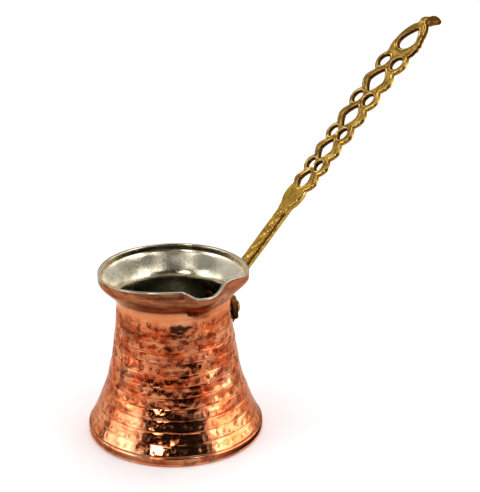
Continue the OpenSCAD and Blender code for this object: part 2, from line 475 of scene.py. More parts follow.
def tin_inner(angles):
    """Inside face of the lining, slightly uneven."""
    z = np.concatenate([np.linspace(BASE_T + TIN_T + 1.6, 58, 50), np.linspace(58, 71, 16)[1:],
                        np.linspace(71, RIM_Z - 0.9, 34)[1:]])
    wobble = np.clip(smooth_wander(z, angles, 0.05, 11), -0.1, 0.15)
    return wall_points(z, WALL_T + TIN_T - wobble * ramp((RIM_Z - z) / 3)[:, None], angles)


def tin_floor():
    """Rings of the lining's floor and of the rounded corner round it."""
    top = BASE_T + TIN_T
    corner = wall_r(np.array(BAND_H)) - WALL_T - TIN_T
    profile = [(12, top), (24, top), (33, top), (corner - 3.2, top), (corner - 1.8, top + 0.2),
               (corner - 0.9, top + 0.7)]
    return [axis_point(top)] + [flat_ring(radius, z, TIN_COLUMNS) for radius, z in profile]


def tin_back():
    """Hidden side of the lining, against the copper."""
    z = np.concatenate([np.linspace(RIM_Z - 0.8, JOIN_Z, 12), np.linspace(JOIN_Z, BAND_H, 18)[1:]])
    wall = list(wall_points(z, WALL_T - 0.02, column_angles(COARSE_COLUMNS)))
    corner = wall_r(np.array(BAND_H)) - WALL_T - TIN_T
    return wall + [flat_ring(corner - 3, BASE_T, COARSE_COLUMNS), axis_point(BASE_T)]


def tin_lining(material):
    angles = column_angles(TIN_COLUMNS)
    inside = tin_floor() + list(tin_inner(angles))
    lip = [wall_points([z], depth, angles)[0] for z, depth in LIP_EDGE]
    points, faces = ring_shell(inside + lip + tin_back())
    faces = [face[::-1] for face in faces]
    lip_start = sum(len(ring) for ring in inside)
    cavity = np.zeros(len(points))
    cavity[lip_start:lip_start + TIN_COLUMNS * len(lip)] = LIP_DARK
    return make_piece("tin_inside", points, faces, material, "tin_lining", {"cavity": cavity})


# ---- Handle: plan of the casting ----

STRAP_S = -2.92
STRAP_Z = 64.23
S_RANGE = (-21.0, 183.0)
Y_RANGE = (-17.0, 17.0)
# Half length and half width of the shapes in the plan.
LOWER_EYE = (6, 6)
WING_EYE = (6, 5.2)
LEAF = (9, 6.3)
LOOP = (14.2, 9.3)
LOOP_SHOULDER = (8.0, 5.6)
LOOP_WINDOW = (6.5, 4.9)
TIP = (5.7, 3.3)


def braid_at(i):
    """Place along the handle of bulge i of the braid, whose steps grow towards the loop."""
    return BRAID_S + i * BRAID_STEP + STEP_GROWTH * i * (i - 1) / 2


def eye(s, y, s0, y0, size, power, taper=0.0):
    """Positive inside a rounded shape: power 2 is an ellipse, near 1 a diamond, and taper makes a drop."""
    along = (s - s0) / size[0]
    across = (y - y0) / (size[1] * (1 - taper * np.clip(along, -1, 1)))
    return (1 - (np.abs(along) ** power + np.abs(across) ** power) ** (1 / power)) * min(size)


def bar(s, y, start, end, half_width):
    """Positive inside a straight bar along the handle."""
    return np.minimum(np.minimum(s - start, end - s), half_width - np.abs(y))


def flange_s(z):
    """Place along the handle of a height on the upright flange."""
    return STRAP_S + z - STRAP_Z


def casting_outline(s, y):
    """Positive inside the outline of the casting: flange, shaft, leaf, openwork, loop and finial."""
    knobs = 0.25 * np.sin(s * 2.1) * ramp((-y - 3) / 2) * bell(s - LOOP_S - 1, 7)
    shapes = [
        bar(s, y, flange_s(55), LEAF_S, SHAFT_W / 2),
        bar(s, y, flange_s(55.5), flange_s(60.6), WING_Y),
        eye(s, y, flange_s(LOWER_Z), 0, LOWER_EYE, 2),
        eye(s, y, flange_s(RIVET_Z), -WING_Y - 0.8, WING_EYE, 2),
        eye(s, y, flange_s(RIVET_Z), WING_Y + 0.8, WING_EYE, 2),
        eye(s, y, LEAF_S, 0, LEAF, 2),
        eye(s, y, LOOP_S, 0, LOOP, 2, 0.08) + knobs,
        eye(s, y, LOOP_S - 2.5, -5, LOOP_SHOULDER, 2) + knobs,
        bar(s, y, LOOP_S + 8, FINIAL_S + 3, 2.7),
        eye(s, y, FINIAL_S + 3.8, 0, TIP, 2)]
    for i in range(2 * DIAMONDS):
        lean = 0.95 - 0.06 * i
        size = (0.69 * (BRAID_STEP + STEP_GROWTH * i), (7.7 if i % 2 else 7.5) + 0.4 * i + lean)
        shapes.append(eye(s, y, braid_at(i), -lean, size, 1.9))
    return np.maximum.reduce(shapes)


def casting_plan(s, y):
    """Positive where the casting has metal, so with its windows and rivet holes left out."""
    windows = [eye(s, y, LOOP_S + 2, 0, LOOP_WINDOW, 1.8, 0.45)]
    windows += [eye(s, y, flange_s(z), across, (SHANK_R, SHANK_R), 2) for z, across in RIVETS.values()]
    for i in range(0, 2 * DIAMONDS, 2):
        windows.append(eye(s, y, braid_at(i), 0, (4.9 + 0.26 * i, 2.95 + 0.33 * i), 1.3))
    for i in range(1, 2 * DIAMONDS, 2):
        size = (2.35 + 0.12 * i, 1.6 + 0.19 * i)
        windows += [eye(s, y, braid_at(i), side * (2.9 + 0.3 * i), size, 2) for side in (-1, 1)]
    return np.minimum(casting_outline(s, y), -np.maximum.reduce(windows))


def contour_points(s, y, field):
    """Points where the field crosses zero between neighbours of the grid."""
    found = []
    for axis in (0, 1):
        a = field[:-1, :] if axis == 0 else field[:, :-1]
        b = field[1:, :] if axis == 0 else field[:, 1:]
        cross = (a > 0) != (b > 0)
        t = (a / np.where(cross, a - b, 1))[cross]
        sa = (s[:-1, :] if axis == 0 else s[:, :-1])[cross]
        ya = (y[:-1, :] if axis == 0 else y[:, :-1])[cross]
        found.append(np.stack([sa + (t * HANDLE_CELL if axis == 0 else 0),
                               ya + (t * HANDLE_CELL if axis == 1 else 0)], 1))
    return np.concatenate(found)


def edge_distance(s, y, field):
    """Signed distance to the outline, positive in the metal, with its corners a little rounded."""
    outline = contour_points(s, y, field)
    tree = kdtree.KDTree(len(outline))
    for i, (u, v) in enumerate(outline):
        tree.insert((u, v, 0), i)
    tree.balance()
    flat = np.stack([s.ravel(), y.ravel()], 1)
    distance = np.array([tree.find((u, v, 0))[2] for u, v in flat]).reshape(s.shape)
    distance = np.where(field > 0, distance, -distance)
    return smoothed(smoothed(distance, 0.45).T, 0.45).T


def smoothed(field, width):
    """The field blurred along its first axis."""
    reach = 3
    kernel = bell(np.arange(-reach, reach + 1) * HANDLE_CELL, width)
    kernel /= kernel.sum()
    padded = np.pad(field, [(reach, reach), (0, 0)], "edge")
    return sum(weight * padded[i:i + len(field)] for i, weight in enumerate(kernel))


def sample(grid, s, y):
    """Value of a grid field at places s, y."""
    u = np.clip((s - S_RANGE[0]) / HANDLE_CELL, 0, grid.shape[0] - 1.001)
    v = np.clip((y - Y_RANGE[0]) / HANDLE_CELL, 0, grid.shape[1] - 1.001)
    i, j = u.astype(int), v.astype(int)
    fu, fv = u - i, v - j
    return ((grid[i, j] * (1 - fu) + grid[i + 1, j] * fu) * (1 - fv)
            + (grid[i, j + 1] * (1 - fu) + grid[i + 1, j + 1] * fu) * fv)


def kept_cells(distance):
    """Cells of the grid that are metal, with no two that touch only at a corner."""
    middle = (distance[:-1, :-1] + distance[1:, :-1] + distance[:-1, 1:] + distance[1:, 1:]) / 4
    keep = middle > 0
    for _ in range(4):
        a, b, c, d = keep[:-1, :-1], keep[1:, 1:], keep[1:, :-1], keep[:-1, 1:]
        first = a & b & ~c & ~d
        second = c & d & ~a & ~b
        if not (first.any() or second.any()):
            break
        for i, j in np.argwhere(first | second):
            keep[i:i + 2, j:j + 2] = True
    return keep


# ---- Handle: relief ----

# Each zone is 1 along its own stretch of the handle and blends to 0 beyond.

def flange_zone(s):
    return 1 - ramp((s + 4.5) / 3)


def shaft_zone(s):
    return ramp((s - 3) / 3) * (1 - ramp((s - 49) / 4))


def openwork_zone(s):
    return ramp((s - 62) / 3)


def finial_zone(s):
    return ramp((s - FINIAL_S + 4) / 3)


def rounded(d, radius):
    """Drop of a rounded edge at distance d from the outline."""
    return radius * (1 - np.sqrt(1 - (1 - np.clip(d / radius, 0, 1)) ** 2))


def strand_path(s, i):
    """Line of the strand on top at bulge i, from one side of a diamond to the other side of the next."""
    middle = 5.35 + 0.37 * i
    before = (braid_at(i) - s) / (braid_at(i) - braid_at(i - 1))
    after = (s - braid_at(i)) / (braid_at(i + 1) - braid_at(i))
    return middle * (np.clip(before, 0, 1) ** 1.25 - np.clip(after, 0, 1) ** 1.25)


def openwork_relief(s, y, d):
    """Height added on top of the openwork: ridged strands that pass over and under each other."""
    ridge = -0.95 * (1 - np.clip(d / 1.3, 0, 1)) ** 1.8 - 0.3 * bell(d - 1.8, 0.4)
    for i in range(1, 2 * DIAMONDS, 2):
        near = bell(s - braid_at(i), 4.2)
        over = bell(y - strand_path(s, i), 1.15)
        under = bell(y + strand_path(s, i), 1.3)
        ridge += 0.34 * near * over - 0.38 * near * under * (1 - over)
    return ridge


def shaft_relief(s, y):
    """Cast ornament on the shaft: a row of beads among winding stems, inside a raised border."""
    wave = 14.0
    phase = 2 * math.pi * (s - 6) / wave
    stem = np.maximum(bell(y - 1.4 * np.sin(phase), 0.5), bell(y + 1.4 * np.sin(phase), 0.42))
    beads = np.zeros_like(s)
    for bead in range(7):
        centre = 6 + wave * 0.5 * bead
        beads = np.maximum(beads, np.sqrt(np.clip(1 - ((s - centre) ** 2 + y ** 2) / 1.7, 0, 1)))
    veins = 0.5 + 0.5 * np.sin(s * 3.1 + y * 2.2) * np.cos(s * 1.3 - y * 3.1)
    border = bell(np.abs(y) - 2.75, 0.36)
    ornament = 0.48 * np.maximum(np.maximum(0.75 * stem, border), 1.2 * beads)
    ornament += 0.13 * veins * (1 - border)
    return -0.54 + ornament - 0.6 * ramp((np.abs(y) - 3.0) / 0.5)


def leaf_relief(s, y, d):
    """Satin leaf with a raised edge and a shallow rib."""
    grain = 0.04 * np.sin(s * 4.1 + 1.7 * y) * np.sin(y * 3.7 - s)
    return -0.30 + 0.30 * bell(d - 0.7, 0.5) + 0.06 * bell(y, 0.6) * np.cos(s * 0.9) + grain


def finial_height(s, side):
    """Half thickness of the finial above (side 1) or below (side -1) its middle line."""
    humps = 0.85 * bell(s - FINIAL_S + 0.6, 2.0) + 0.85 * bell(s - FINIAL_S - 5.6, 2.6)
    chin = 0.45 * bell(s - FINIAL_S - 7.8, 1.1) + 0.8 * bell(s - FINIAL_S - 1.6, 2.2)
    body = 1.8 + humps if side > 0 else 2.1 + chin
    return body - 1.7 * ramp((s - FINIAL_S - 5.5) / 4.1)


def finial_dome(s, y, side):
    """The finial's half thickness, rounded across."""
    return finial_height(s, side) * np.sqrt(np.clip(1 - (y / 3.6) ** 2, 0.04, 1))


def top_height(s, y, d):
    """Height of the top face over the middle plane, d from the outline. On the flange it faces the pot."""
    shaft = ramp((s - 1.5) / 2.5) * (1 - ramp((s - 47.5) / 3))
    leaf = ramp((s - 47.5) / 3) * (1 - ramp((s - 62.5) / 2.5))
    openwork = ramp((s - 62.5) / 2.5)
    height = HANDLE_T / 2 - 0.1 * flange_zone(s)
    height = height + shaft * shaft_relief(s, y) + leaf * leaf_relief(s, y, d)
    height = height + openwork * openwork_relief(s, y, d)
    dome = finial_dome(s, y, 1) + 0.12 * np.sin(s * 3.1) * np.cos(y * 2.3)
    height = height + finial_zone(s) * (dome - height)
    return height - rounded(d, 0.4)


def bottom_height(s, y, d):
    """Height of the bottom face, which is below zero. On the flange it faces outward."""
    flange = flange_zone(s)
    openwork = ramp((s - 60) / 4)
    height = -HANDLE_T / 2 + 0.1 * flange
    height = height + openwork * (0.55 + 0.3 * (1 - np.clip(d / 1.5, 0, 1)) ** 1.6)
    height = height - finial_zone(s) * (finial_dome(s, y, -1) + height)
    return height + rounded(d, 0.3 + 0.45 * flange)


# ---- Handle: place in the world ----

def bow(s):
    """How far the cast handle wanders from its straight line."""
    return 0.85 * ramp((s - 30) / 95) - 2.5 * np.clip((s - 131) / 39, 0, 1) ** 1.6


def centre_line():
    """Places and directions along the middle plane, from the top of the strap to the finial's tip."""
    s = np.arange(STRAP_S, S_RANGE[1] + 1, 0.1)
    bend_end = STRAP_S + BEND_R * math.radians(HANDLE_ANGLE)
    angle = 90 - (90 - HANDLE_ANGLE) * np.clip((s - STRAP_S) / (bend_end - STRAP_S), 0, 1)
    angle = angle + np.degrees(np.arctan(np.gradient(bow(s), s)))
    droop = HANDLE_ANGLE + 8
    angle = angle - droop * ramp((s - FINIAL_S + 2.5) / 5)
    turn = np.radians(angle)
    x = NECK_R + FLANGE_T / 2 + np.concatenate([[0], np.cumsum(np.cos(turn))[:-1] * 0.1])
    z = STRAP_Z + np.concatenate([[0], np.cumsum(np.sin(turn))[:-1] * 0.1])
    return s, x, z, turn


CENTRE_LINE = centre_line()


def place(s, y, h):
    """World place of a point s along the handle, y across it and h above its middle plane.

    The flange wraps round the neck, and the strap between its wings turns flat before it bends.
    """
    line_s, line_x, line_z, line_turn = CENTRE_LINE
    x = np.interp(s, line_s, line_x)
    z = np.interp(s, line_s, line_z)
    turn = np.interp(s, line_s, line_turn)
    upright = STRAP_Z + s - STRAP_S
    z = np.where(s < STRAP_S, upright, z)
    flat = np.stack([x - h * np.sin(turn), y, z + h * np.cos(turn)], -1)
    radius = wall_r(upright) + FLANGE_T / 2 - h
    wrapped = np.stack([np.sqrt(np.clip(radius ** 2 - y ** 2, 0, None)), y, upright], -1)
    wing = ramp((np.abs(y) - 4.25) / 0.7) * (1 - ramp((s - 8) / 2))
    weight = ramp((s + 8) / 5) * (1 - wing)
    return wrapped + weight[:, None] * (flat - wrapped)


# ---- Handle: mesh ----

# Rows of faces down the sides.
SIDE_ROWS = 7


def relax(places, free, rounds):
    """Evens out the free places, which lie next to the outline and were squeezed when it was followed."""
    for _ in range(rounds):
        mean = (np.roll(places, 1, 0) + np.roll(places, -1, 0)
                + np.roll(places, 1, 1) + np.roll(places, -1, 1)) / 4
        places[free] = mean[free]
    return places


def follow_outline(s, y, distance, slopes, used, rim):
    """Grid places with the rim moved onto the outline."""
    steep = np.maximum(slopes[0] ** 2 + slopes[1] ** 2, 0.3)
    places = np.stack([s, y], -1)
    for axis, slope in enumerate(slopes):
        places[rim, axis] -= (distance * slope / steep)[rim]
    return relax(places, used & ~rim & (distance < 3 * HANDLE_CELL), 3)


def corners_of(values):
    """The values at the four corners of each cell of a grid, in turn round the cell."""
    return [values[:-1, :-1], values[1:, :-1], values[1:, 1:], values[:-1, 1:]]


def open_edges(corners, keep):
    """Pairs of points along each edge of a kept cell that has no kept neighbour."""
    empty = np.pad(~keep, 1, constant_values=True)
    rows, columns = keep.shape
    edges = []
    for side, (i, j) in enumerate([(1, 0), (2, 1), (1, 2), (0, 1)]):
        alone = empty[i:i + rows, j:j + columns][keep]
        edges.append(np.stack([corners[side][alone], corners[(side + 1) % 4][alone]], 1))
    return np.concatenate(edges)


def side_rows(s, y, top, bottom, out):
    """Rows of points down the sides, with a groove along the shaft and a slight bulge elsewhere."""
    grooved = shaft_zone(s) * ramp((np.abs(y) - 3) / 0.5)
    rows = []
    for number in range(1, SIDE_ROWS):
        share = number / SIDE_ROWS
        bulge = 0.1 * (1 - grooved) * math.sin(math.pi * share) - 0.15 * grooved * bell(share - 0.1, 0.15)
        height = top + share * (bottom - top)
        rows.append(np.stack([s + bulge * out[:, 0], y + bulge * out[:, 1], height], 1))
    return rows


def side_faces(edges, rim_ids, count):
    """Faces of the sides, from the rim of the top face down to the rim of the bottom face."""
    slot_of = np.full(count, -1)
    slot_of[rim_ids] = np.arange(len(rim_ids))

    def row(number):
        if number == 0:
            return edges
        if number == SIDE_ROWS:
            return edges + count
        return 2 * count + (number - 1) * len(rim_ids) + slot_of[edges]

    faces = []
    for number in range(SIDE_ROWS):
        upper = row(number)
        lower = row(number + 1)
        faces.append(np.stack([upper[:, 0], lower[:, 0], lower[:, 1], upper[:, 1]], 1))
    return faces


def openwork_edges(s, y, d):
    """Painted shade along the strands' edges, in their grooves and round their windows, with less on the
    outer edge towards the light.
    """
    inside = casting_outline(s, y)
    openwork = openwork_zone(s)
    # Painted shade: outer edges on the side towards the light stay lighter, those on the far side are
    # darker, and window edges and the groove along each strand are dark.
    bright = ramp(1.5 - inside * 1.4) * ramp(-y / 2) * ramp((LOOP_S - 8 - s) / 4)
    far = ramp(1.5 - inside * 0.8) * ramp(y / 2)
    windows = 0.9 * ramp((inside - 1.2) / 1.2) * ramp((1.15 - d) / 0.5)
    dark = np.maximum(ramp((0.95 - d) / 0.5), windows) * (1 - 0.75 * bright)
    dark = np.maximum(dark, far * ramp((1.3 - d) / 0.5))
    dark = openwork * np.maximum(dark, 0.75 * bell(d - 1.8, 0.32))
    darkening = 0.6 * openwork * ramp((0.7 + 0.6 * far - d) / 0.4) * (1 - bright)
    return dark, darkening


def top_cavity(s, y, top, edge_dark):
    """How dark each point of the top face is, from patina in its low places and painted shade along its
    edges.
    """
    openwork = openwork_zone(s)
    leaf = ramp((s - 50) / 3) * (1 - openwork)
    side_band = ramp((np.abs(y) - 3.6) / 0.3)
    step = ramp((np.abs(y) - 2.9) / 0.3) * (1 - side_band)
    low = np.clip((HANDLE_T / 2 - 0.12 - top) / 0.5, 0, 1)
    low = low * (1 - shaft_zone(s) * np.maximum(0.3 * (1 - step), side_band))
    return np.maximum(low * (1 - 0.45 * openwork), np.maximum(edge_dark, 0.2 * leaf))


def handle_looks(s, y, d, top, rim_ids):
    """Cavity, darkening and painted highlights of each point, much of it painted shade: the top face, the
    bottom face, then the rows of the sides.
    """
    rim_s = s[rim_ids]
    rim_y = y[rim_ids]
    rows = SIDE_ROWS - 1
    flange = 1 - ramp((s + 2) / 3)
    finial = ramp((s - FINIAL_S + 2) / 3)
    tip = ramp((s - FINIAL_S - 3.4) / 3)
    # Painted shade: the flange is painted dark. The finial and its tip are painted darker too.
    dark_zone = np.maximum(0.95 * flange, 0.82 * finial)
    edge_dark, edge_shade = openwork_edges(s, y, d)
    # Painted shade: the walls of the openwork's windows are darker than its outer walls.
    outer = ramp(1.2 - casting_outline(rim_s, rim_y) * 2)
    side_dark = np.where(rim_s > 62, 0.62 - 0.55 * outer, 0.10)
    # Painted shade: the bottom face is darker all over.
    cavity = [np.maximum(top_cavity(s, y, top, edge_dark), dark_zone), np.maximum(0.55, 0.95 * flange)]
    cavity.append(np.tile(np.maximum(side_dark, dark_zone[rim_ids]), rows))
    darkening = np.maximum(np.maximum(flange, edge_shade), np.maximum(tip, 0.42 * finial))
    # Painted highlights: glinting streaks along the strands' ridges, and bright facets on the outer walls on
    # the side towards the light.
    glints = ramp(0.3 + 0.9 * np.sin(s * 0.85 + y * 0.9))
    streak = openwork_zone(s) * bell(d - 1.25, 0.22) * glints * (1 - finial)
    facets = sum(bell(rim_s - braid_at(i), 2.0) * (1 - 0.09 * i) for i in range(2 * DIAMONDS))
    facets = np.clip(facets * ramp((-rim_y - 5) / 1.5), 0, 1)
    return {"cavity": np.concatenate(cavity),
            "darkening": np.concatenate([darkening, darkening, np.tile(darkening[rim_ids], rows)]),
            "painted_highlight": np.concatenate([streak, np.zeros(len(s)), np.tile(facets, rows)])}


def handle(material):
    """One casting: a top and a bottom face over the kept cells of a grid, joined by its sides."""
    s, y = np.meshgrid(np.arange(*S_RANGE, HANDLE_CELL), np.arange(*Y_RANGE, HANDLE_CELL), indexing="ij")
    distance = edge_distance(s, y, casting_plan(s, y))
    slopes = np.gradient(distance, HANDLE_CELL)
    keep = kept_cells(distance)
    around = np.zeros(s.shape, int)
    # Each corner is a view of the grid, so this counts the kept cells around every point.
    for corner in corners_of(around):
        corner += keep
    used = around > 0
    rim = used & (around < 4)
    places = follow_outline(s, y, distance, slopes, used, rim)[used]
    s, y = places.T
    count = len(s)
    d = np.where(rim[used], 0, np.maximum(sample(distance, s, y), 0))
    top = top_height(s, y, d)
    bottom = np.minimum(bottom_height(s, y, d), top - 0.3)

    index = np.full(used.shape, -1)
    index[used] = np.arange(count)
    corners = [ids[keep] for ids in corners_of(index)]
    edges = open_edges(corners, keep)
    rim_ids = np.unique(edges)
    top_faces = np.stack(corners, 1)
    faces = [top_faces, top_faces[:, ::-1] + count] + side_faces(edges, rim_ids, count)

    out = np.stack([-sample(slope, s[rim_ids], y[rim_ids]) for slope in slopes], 1)
    out /= np.maximum(np.linalg.norm(out, axis=1), 0.2)[:, None]
    rows = [np.stack([s, y, top], 1), np.stack([s, y, bottom], 1)]
    rows += side_rows(s[rim_ids], y[rim_ids], top[rim_ids], bottom[rim_ids], out)
    points = place(*np.concatenate(rows).T)
    faces = np.concatenate(faces).tolist()
    looks = handle_looks(s, y, d, top, rim_ids)
    return make_piece("brass_handle", points, faces, material, "handle", looks)


# ---- Rivets ----

HEAD_R = 3.28
HEAD_H = 1.6


def rivet_profile(inside, outside):
    """Radius and distance from the axis of the pot, from the inner head out to the domed outer head."""
    inner_head = [(0.8, -0.98), (2.2, -0.9), (2.75, -0.6), (3.0, -0.25), (2.95, 0.02), (SHANK_R, 0.05)]
    profile = [(radius, inside + offset) for radius, offset in inner_head]
    profile += [(SHANK_R, outside - 0.1), (3.1, outside - 0.12), (HEAD_R, outside + 0.1)]
    profile += [(HEAD_R * math.cos(turn), outside + 0.1 + HEAD_H * math.sin(turn))
                for turn in np.radians([12, 25, 38, 50, 61, 71, 80])]
    return profile


def rivet(node, material, seed):
    """Domed head outside, shank, and a flatter head inside, square to the neck."""
    height, across = RIVETS[node]
    inside = float(wall_r(np.array(height))) - WALL_T - TIN_T
    outside = float(wall_r(np.array(height))) + FLANGE_T
    rng = np.random.default_rng(seed)
    turn = np.radians(column_angles(48))
    rings = [np.array([[inside - 1.0, 0, 0]])]
    for radius, x in rivet_profile(inside, outside):
        dome = max(0.0, x - outside)
        dents = 0.06 * dome * np.sin(turn * 5 + rng.uniform(0, 6)) + 0.05 * dome * np.sin(turn * 3 + 2 * x)
        uneven = radius * (1 - 0.25 * dents)
        rings.append(np.stack([x + 0.35 * dents, uneven * np.cos(turn), uneven * np.sin(turn)], 1))
    rings.append(np.array([[outside + HEAD_H + 0.08, 0, 0]]))
    points, faces = ring_shell(rings)
    x, y, z = points.T
    angle = math.asin(across / (NECK_R + FLANGE_T))
    points = np.stack([x * math.cos(angle) - y * math.sin(angle),
                       x * math.sin(angle) + y * math.cos(angle), z + height], 1)
    # Painted shade: all of the rivet below its outer dome is dark.
    cavity = np.clip(1 - (x - outside) / 0.5, 0, 1)
    return make_piece(node + "_head", points, faces, material, node, {"cavity": cavity})


# ---- Materials ----

class Nodes:
    """Small helper for building a material's node tree. Most methods return the socket they made."""

    def __init__(self, name):
        self.material = bpy.data.materials.new(name)
        self.material.use_nodes = True
        self.tree = self.material.node_tree
        self.shader = self.tree.nodes["Principled BSDF"]

    def add(self, kind, **inputs):
        """New node with some of its inputs set."""
        node = self.tree.nodes.new(kind)
        for key, value in inputs.items():
            node.inputs[key.replace("_", " ")].default_value = value
        return node

    def link(self, output, target):
        self.tree.links.new(output, target)

    def object_coords(self, scale):
        """Place on the object in metres, stretched by scale."""
        coords = self.add("ShaderNodeTexCoord")
        mapping = self.add("ShaderNodeMapping")
        mapping.inputs["Scale"].default_value = scale
        self.link(coords.outputs["Object"], mapping.inputs["Vector"])
        return mapping.outputs["Vector"]

    def noise(self, scale, stretch=(1, 1, 1), detail=4.0, roughness=0.55):
        node = self.add("ShaderNodeTexNoise", Scale=scale, Detail=detail, Roughness=roughness)
        self.link(self.object_coords(stretch), node.inputs["Vector"])
        return node.outputs["Fac"]

    def spread(self, value, low, high, to_low=0.0, to_high=1.0):
        """Maps low to to_low and high to to_high, and holds both beyond."""
        node = self.add("ShaderNodeMapRange")
        for key, number in (("From Min", low), ("From Max", high), ("To Min", to_low), ("To Max", to_high)):
            node.inputs[key].default_value = number
        self.link(value, node.inputs["Value"])
        return node.outputs["Result"]

    def mix(self, factor, first, second):
        """First color where factor is 0 and second where it is 1. Each is a tuple or a socket."""
        node = self.tree.nodes.new("ShaderNodeMix")
        node.data_type = "RGBA"
        self.link(factor, node.inputs["Factor"])
        for value, socket in ((first, node.inputs[6]), (second, node.inputs[7])):
            if isinstance(value, tuple):
                socket.default_value = (*value, 1)
            else:
                self.link(value, socket)
        return node.outputs[2]

    def math(self, operation, first, second):
        node = self.tree.nodes.new("ShaderNodeMath")
        node.operation = operation
        for value, socket in ((first, node.inputs[0]), (second, node.inputs[1])):
            if isinstance(value, (int, float)):
                socket.default_value = value
            else:
                self.link(value, socket)
        return node.outputs[0]

    def times(self, first, second):
        return self.math("MULTIPLY", first, second)

    def height(self):
        """Height over the table in metres."""
        split = self.tree.nodes.new("ShaderNodeSeparateXYZ")
        self.link(self.object_coords((1, 1, 1)), split.inputs["Vector"])
        return split.outputs["Z"]

    def attribute(self, name):
        node = self.add("ShaderNodeAttribute")
        node.attribute_name = name
        return node.outputs["Fac"]

    def bump(self, height, distance, strength=1.0):
        node = self.add("ShaderNodeBump", Strength=strength, Distance=distance)
        self.link(height, node.inputs["Height"])
        self.link(node.outputs["Normal"], self.shader.inputs["Normal"])

    def finish(self, color, roughness):
        """Makes it a metal of this color and roughness."""
        self.shader.inputs["Metallic"].default_value = 1.0
        self.link(color, self.shader.inputs["Base Color"])
        self.link(roughness, self.shader.inputs["Roughness"])
        return self.material


def copper_material():
    """Copper: clean and salmon at the neck, mottled red-brown where it is hammered, dull and darker brown on
    the collar, and darkened where the cavity attribute paints shade, shadows and a reflection.
    """
    m = Nodes("hammered_copper")
    height = m.height()
    below = m.spread(height, 0.008, 0.036, 0.45, 1.0)
    dark_zone = m.times(below, m.spread(height, 0.0635, 0.0700, 1.0, 0.15))
    dark_zone = m.math("MAXIMUM", dark_zone, m.spread(height, 0.0056, 0.0048, 0.0, 0.6))
    clouds = m.spread(m.noise(34, (1, 1, 1.5), 3), 0.36, 0.62)
    color = m.mix(clouds, (0.95, 0.42, 0.21), (0.84, 0.265, 0.10))
    blush = m.spread(m.noise(90, (1, 1, 1.5), 6, 0.62), 0.39, 0.58)
    color = m.mix(m.times(blush, dark_zone), color, (0.66, 0.105, 0.026))
    stains = m.spread(m.noise(200, (1, 1, 1.6), 6, 0.6), 0.50, 0.62)
    color = m.mix(m.times(stains, dark_zone), color, (0.30, 0.038, 0.012))
    streaks = m.spread(m.noise(1200, (0.03, 0.03, 1), 3), 0.50, 0.66, 0, 0.6)
    color = m.mix(m.times(streaks, dark_zone), color, (0.20, 0.028, 0.010))
    collar = m.times(m.spread(height, 0.0728, 0.0742), 0.85)
    haze = m.spread(m.noise(140, (1, 1, 3.5), 5), 0.42, 0.58)
    cloudy = m.mix(haze, (0.37, 0.112, 0.046), (0.13, 0.034, 0.015))
    color = m.mix(collar, color, cloudy)
    # The cavity attribute holds painted shade in the lathe lines, the dents' lower rims, the foot's groove
    # and the collar's ledge, painted shadows and a painted reflection in front, and darker clouds.
    cavity = m.attribute("cavity")
    color = m.mix(m.times(cavity, 0.95), color, (0.036, 0.010, 0.007))
    m.shader.inputs["Specular Tint"].default_value = (1.0, 0.76, 0.62, 1.0)
    fine = m.noise(420, (0.25, 0.25, 2.2), 5)
    rough = m.spread(fine, 0.3, 0.75, 0.07, 0.18)
    rough = m.math("ADD", rough, m.times(cavity, 0.25))
    rough = m.math("ADD", rough, m.times(collar, 0.08))
    m.bump(fine, 0.00005, 0.6)
    return m.finish(color, rough)


def tin_material():
    """Wiped hot tin: pale, warm and cloudy, with specks, a paler lip, and painted shade that darkens it from
    the neck down.
    """
    m = Nodes("wiped_tin")
    clouds = m.spread(m.noise(55, (1, 1, 1), 5), 0.36, 0.66)
    color = m.mix(clouds, (0.73, 0.66, 0.50), (0.40, 0.355, 0.26))
    height = m.height()
    color = m.mix(m.spread(height, 0.0788, 0.0812), color, (0.60, 0.53, 0.40))
    # Painted shade: the lining turns darker from the neck down.
    color = m.mix(m.spread(height, 0.0705, 0.0655), color, (0.34, 0.33, 0.27))
    specks = m.spread(m.noise(1500, (1, 1, 1), 3), 0.50, 0.62)
    patch = m.spread(m.noise(45, (1, 1, 1), 2), 0.45, 0.6)
    color = m.mix(m.times(specks, m.times(patch, 0.75)), color, (0.20, 0.18, 0.13))
    color = m.mix(m.attribute("cavity"), color, (0.31, 0.26, 0.19))
    rough = m.spread(m.noise(60, (1, 1, 1), 6), 0.3, 0.7, 0.12, 0.30)
    m.bump(m.noise(700, (1, 1, 1), 3), 0.00012, 0.5)
    return m.finish(color, rough)


def brass_material(name, bright, dull, dark):
    """Cast brass: bright in patches, brown in fine mottles and recesses, with painted highlights on its
    ridges and painted shade where the cavity and darkening attributes say.
    """
    m = Nodes(name)
    patches = m.spread(m.noise(150, (1, 1, 1), 5), 0.38, 0.62)
    color = m.mix(patches, bright, dull)
    mottles = m.spread(m.noise(620, (1, 1, 1), 5, 0.62), 0.52, 0.62, 0, 0.65)
    color = m.mix(mottles, color, tuple(0.35 * value for value in dull))
    # The cavity attribute holds patina in the relief's low places, and painted shade along edges, window
    # walls, the bottom face and the flange.
    cavity = m.attribute("cavity")
    color = m.mix(cavity, color, dark)
    # Painted highlights in cream.
    color = m.mix(m.times(m.attribute("painted_highlight"), 0.85), color, (1.0, 0.80, 0.46))
    # Painted shade, near black, where the darkening attribute says.
    color = m.mix(m.times(m.attribute("darkening"), 0.8), color, (0.016, 0.008, 0.004))
    rough = m.spread(m.noise(260, (1, 1, 1), 4), 0.3, 0.7, 0.15, 0.32)
    rough = m.math("ADD", rough, m.times(cavity, 0.2))
    m.shader.inputs["Specular Tint"].default_value = (0.72, 0.50, 0.26, 1.0)
    m.bump(m.noise(480, (1, 1, 1), 4), 0.0001, 0.5)
    return m.finish(color, rough)


